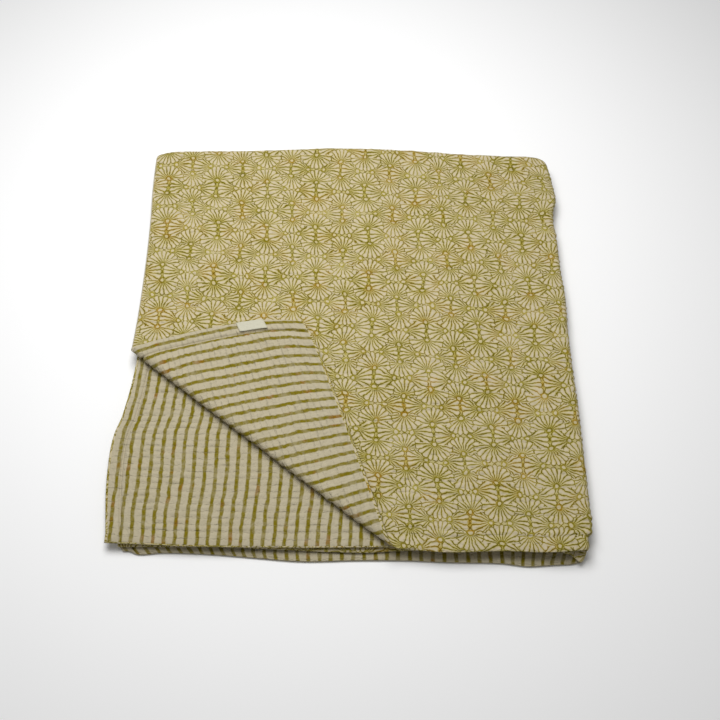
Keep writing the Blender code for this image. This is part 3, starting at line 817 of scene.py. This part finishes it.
def star_dots(shader, x, y, ink, fan_side):
    """The dots of a star's fans, and the ink between the upper and lower ones."""
    ink = dot(shader, shader.sub(fan_side, x), y, ink, DOT_SIDE)
    ink = dot(shader, shader.sub(y, FAN_UP), x, ink, DOT_UP)
    bar = shader.fade(shader.length(shader.mul(x, 1.2), shader.mul(y, 0.45)), 0.8, 3.8)
    return shader.most(ink, shader.mul(bar, BAR_INK))


def cloth_bump(shader, place, strength):
    """Weave, the thread of the running stitches and the small puckers beside them. The groove mask it
    gives back is also used to paint shade into the colour.
    """
    u, v, _ = shader.split(place)
    weave = shader.mul(shader.add(shader.math("SINE", shader.mul(u, 2 * math.pi / WEAVE_PITCH)),
                                  shader.math("SINE", shader.mul(v, 2 * math.pi / WEAVE_PITCH))),
                       WEAVE_HEIGHT)
    pucker = shader.noise(shader.vector("MULTIPLY", place, (0.36, 0.20, 1.0)), 1.0, 2.0)[0]
    pucker = shader.mul(shader.sub(pucker, 0.5), PUCKER_HEIGHT)
    wander = shader.sub(shader.noise(place, 0.07, 1.0)[0], 0.5)
    row = shader.mul(shader.sub(shader.add(v, wander), (FRONT_UPPER + HEM) * MM),
                     1 / (ROW_PITCH * MM))
    off_row = shader.mul(shader.math("PINGPONG", row, 0.5), ROW_PITCH * MM)
    number = shader.math("FLOOR", shader.add(row, 0.5))
    dash = shader.math("PINGPONG", shader.add(u, shader.mul(number, STITCH_SHIFT)), STITCH_HALF)
    thread = shader.mul(shader.fade(off_row, 0.25, 0.75), shader.step(dash, 1.3, 1.8))
    pulled = shader.noise(shader.vector("MULTIPLY", place, (0.11, 0.30, 1.0)), 1.0, 2.0)[0]
    # groove beside a stitch row: sunk in the relief, and also the mask for the painted shade in the
    # colour
    groove_and_shade = shader.mul(shader.fade(off_row, 0.2, 1.6), shader.step(pulled, 0.42, 0.70))
    height = shader.sub(shader.add(shader.add(weave, pucker), shader.mul(thread, THREAD_HEIGHT)),
                        shader.mul(groove_and_shade, GROOVE_DEPTH))
    shader.bump(height, strength)
    return thread, groove_and_shade


def printed_cotton():
    """Ivory cotton, block printed with stars and fans in mustard olive."""
    shader = Shader("printed_cotton")
    place = shader.cloth()
    u, v, _ = shader.split(shader.shake(place, PRINT_SHAKES))
    lain_u = shader.add(u, shader.mul(v, PRINT_LEAN[0]))
    lain_v = shader.add(v, shader.mul(u, PRINT_LEAN[1]))
    x = shader.math("PINGPONG", shader.sub(lain_u, PRINT_START[0]), PRINT_WIDE / 2)
    y = shader.math("PINGPONG", shader.sub(lain_v, PRINT_START[1]), PRINT_LONG / 2)
    far_x, far_y = shader.sub(PRINT_WIDE / 2, x), shader.sub(PRINT_LONG / 2, y)
    press = shader.noise(place, 0.13, 4.0, 0.65)[0]
    line = shader.mul(shader.add(0.25, shader.mul(press, 1.5)), LINE)
    grown = shader.mul(shader.sub(shader.noise(place, 0.045, 1.0)[0], 0.5), 3.0)
    ink = fan(shader, shader.sub(FAN_SIDE_SMALL, far_x), far_y,
              shader.add(grown, FAN_SIDE_REACH_SMALL), FAN_SIDE_OPEN, GROUND_INK, line)
    ink = fan(shader, shader.sub(FAN_SIDE, x), y,
              shader.add(grown, FAN_SIDE_REACH), FAN_SIDE_OPEN, ink, line)
    ink = fan(shader, shader.sub(far_y, FAN_UP), far_x,
              shader.sub(FAN_UP_REACH_SMALL, grown), FAN_UP_OPEN, ink, line)
    ink = fan(shader, shader.sub(y, FAN_UP), x,
              shader.sub(FAN_UP_REACH, grown), FAN_UP_OPEN, ink, line)
    ink = star_dots(shader, far_x, far_y, ink, FAN_SIDE_SMALL)
    ink = star_dots(shader, x, y, ink, FAN_SIDE)
    patchy = shader.noise(place, 0.4, 3.0, 0.6)[0]
    ink = shader.mul(ink, shader.add(0.65, shader.mul(shader.step(patchy, 0.25, 0.55), 0.50)))
    wash = shader.noise(place, 0.028, 2.0)[0]
    ink = shader.mul(ink, shader.add(0.24, shader.mul(wash, 1.55)))
    heavy = shader.most(shader.fade(shader.length(x, y), 7.0, 24.0),
                        shader.sub(0.8, shader.step(shader.length(far_x, far_y), 6.0, 22.0)))
    ink = shader.mul(ink, shader.add(0.90, shader.mul(heavy, 0.34)))
    ink = shader.least(shader.most(ink, 0.0), 1.0)
    thread, groove_and_shade = cloth_bump(shader, place, 0.95)
    ivory = shader.mix_colour(shader.noise(place, 0.16, 2.0)[0], *PRINT_IVORY)
    rust = shader.step(shader.noise(place, 0.026, 2.0)[0], 0.48, 0.60)
    rust = shader.mul(rust, shader.add(0.25, shader.mul(heavy, 0.9)))
    dark = shader.step(shader.noise(place, 0.13, 1.0)[0], 0.40, 0.70)
    olive = shader.mix_colour(dark, *PRINT_OLIVE)
    olive = shader.mix_colour(shader.least(rust, 1.0), olive, PRINT_RUST)
    colour = shader.mix_colour(shader.step(ink, 0.0, 0.50), ivory, PRINT_THIN)
    colour = shader.mix_colour(shader.step(ink, 0.12, 1.00), colour, olive)
    colour = shader.mix_colour(shader.step(ink, 0.75, 1.1), colour, PRINT_THICK)
    colour = shader.mix_colour(shader.mul(thread, 0.18), colour, PRINT_THREAD)
    # painted shade: the colour darkens in the grooves beside the stitch rows
    colour = shader.mix_colour(shader.mul(groove_and_shade, 0.10), colour, PRINT_GROOVE_SHADE)
    shader.finish_cotton(place, colour, 0.80)
    return shader.material


def striped_cotton():
    """Ivory cotton with narrow mustard stripes from front to back."""
    shader = Shader("striped_cotton")
    place = shader.cloth()
    u = shader.split(shader.shake(place, STRIPE_SHAKES))[0]
    from_first = shader.sub(u, LEFT * MM + STRIPE_FIRST)
    off_stripe = shader.mul(shader.math("PINGPONG", shader.mul(from_first, 1 / STRIPE_PITCH), 0.5),
                            STRIPE_PITCH)
    ink = shader.fade(off_stripe, STRIPE_HALF - 0.75, STRIPE_HALF + 0.70)
    patchy = shader.noise(place, 0.11, 3.0, 0.6)[0]
    ink = shader.mul(ink, shader.add(0.62, shader.mul(shader.step(patchy, 0.30, 0.60), 0.38)))
    thread, groove_and_shade = cloth_bump(shader, place, 1.0)
    ivory = shader.mix_colour(shader.noise(place, 0.12, 2.0)[0], *STRIPE_IVORY)
    rust = shader.step(shader.noise(place, 0.05, 1.0)[0], 0.60, 0.72)
    olive = shader.mix_colour(shader.mul(rust, 0.7), STRIPE_OLIVE, STRIPE_RUST)
    colour = shader.mix_colour(shader.least(ink, 1.0), ivory, olive)
    colour = shader.mix_colour(shader.mul(thread, 0.16), colour, STRIPE_THREAD)
    # painted shade: the colour darkens in the grooves beside the stitch rows
    colour = shader.mix_colour(shader.mul(groove_and_shade, 0.13), colour, STRIPE_GROOVE_SHADE)
    shader.finish_cotton(place, colour, 0.80)
    return shader.material


def woven_tape():
    """The label's plain tape, a little darker towards its ends."""
    shader = Shader("woven_tape")
    place = shader.cloth()
    u, v, _ = shader.split(place)
    warp = shader.math("SINE", shader.mul(v, 2 * math.pi / LABEL_WARP))
    weft = shader.math("SINE", shader.mul(u, 2 * math.pi / LABEL_WEFT))
    shader.bump(shader.mul(shader.add(warp, weft), LABEL_RELIEF), 0.6)
    colour = shader.mix_colour(shader.noise(place, 0.35, 2.0)[0], *TAPE)
    from_end = shader.math("PINGPONG", v, LABEL_LENGTH * MM / 2)
    end = shader.fade(from_end, 1.4, 2.4)
    colour = shader.mix_colour(shader.mul(end, 0.35), colour, TAPE_END)
    shader.finish_cotton(place, colour, 0.62)
    return shader.material


def floor_material():
    shader = Shader("studio_floor")
    shader.surface.inputs["Base Color"].default_value = (*FLOOR, 1)
    shader.surface.inputs["Roughness"].default_value = 0.9
    return shader.material


def studio():
    """A white floor, one soft light from above and behind, and the photo's view."""
    data = bpy.data.meshes.new("floor")
    data.from_pydata([(-FLOOR_REACH, -FLOOR_REACH, FLOOR_TOP), (FLOOR_REACH, -FLOOR_REACH, FLOOR_TOP),
                      (FLOOR_REACH, FLOOR_REACH, FLOOR_TOP), (-FLOOR_REACH, FLOOR_REACH, FLOOR_TOP)],
                     [], [(0, 1, 2, 3)])
    data.materials.append(floor_material())
    floor = in_scene("floor", data)
    world = bpy.data.worlds.new("studio")
    world.use_nodes = True
    background = world.node_tree.nodes["Background"]
    background.inputs["Color"].default_value = (1, 1, 1, 1)
    background.inputs["Strength"].default_value = WORLD_STRENGTH
    bpy.context.scene.world = world
    light_data = bpy.data.lights.new("above_behind", "AREA")
    light_data.shape = "SQUARE"
    light_data.size = LIGHT_SIZE
    light_data.energy = LIGHT_WATTS
    light = in_scene("above_behind", light_data)
    light.location = LIGHT_PLACE
    light.rotation_mode = "QUATERNION"
    light.rotation_quaternion = (-Vector(LIGHT_PLACE)).to_track_quat("-Z", "Y")
    camera_data = bpy.data.cameras.new("camera")
    camera_data.sensor_width = CAMERA_SENSOR
    camera_data.lens = CAMERA_LENS
    camera = in_scene("camera", camera_data)
    camera.location = CAMERA_PLACE
    camera.rotation_euler = (math.radians(90 - CAMERA_DOWN), 0, 0)
    bpy.context.scene.camera = camera
    bpy.context.scene.view_settings.view_transform = "Standard"


face_cloth, back_cloth = make_cloths()
label = make_label()
face_cloth.data.materials.append(printed_cotton())
back_cloth.data.materials.append(striped_cotton())
label.data.materials.append(woven_tape())

for piece in (face_cloth, back_cloth, label):
    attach(piece, "root")
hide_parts("quilt")
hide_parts("label")

studio()
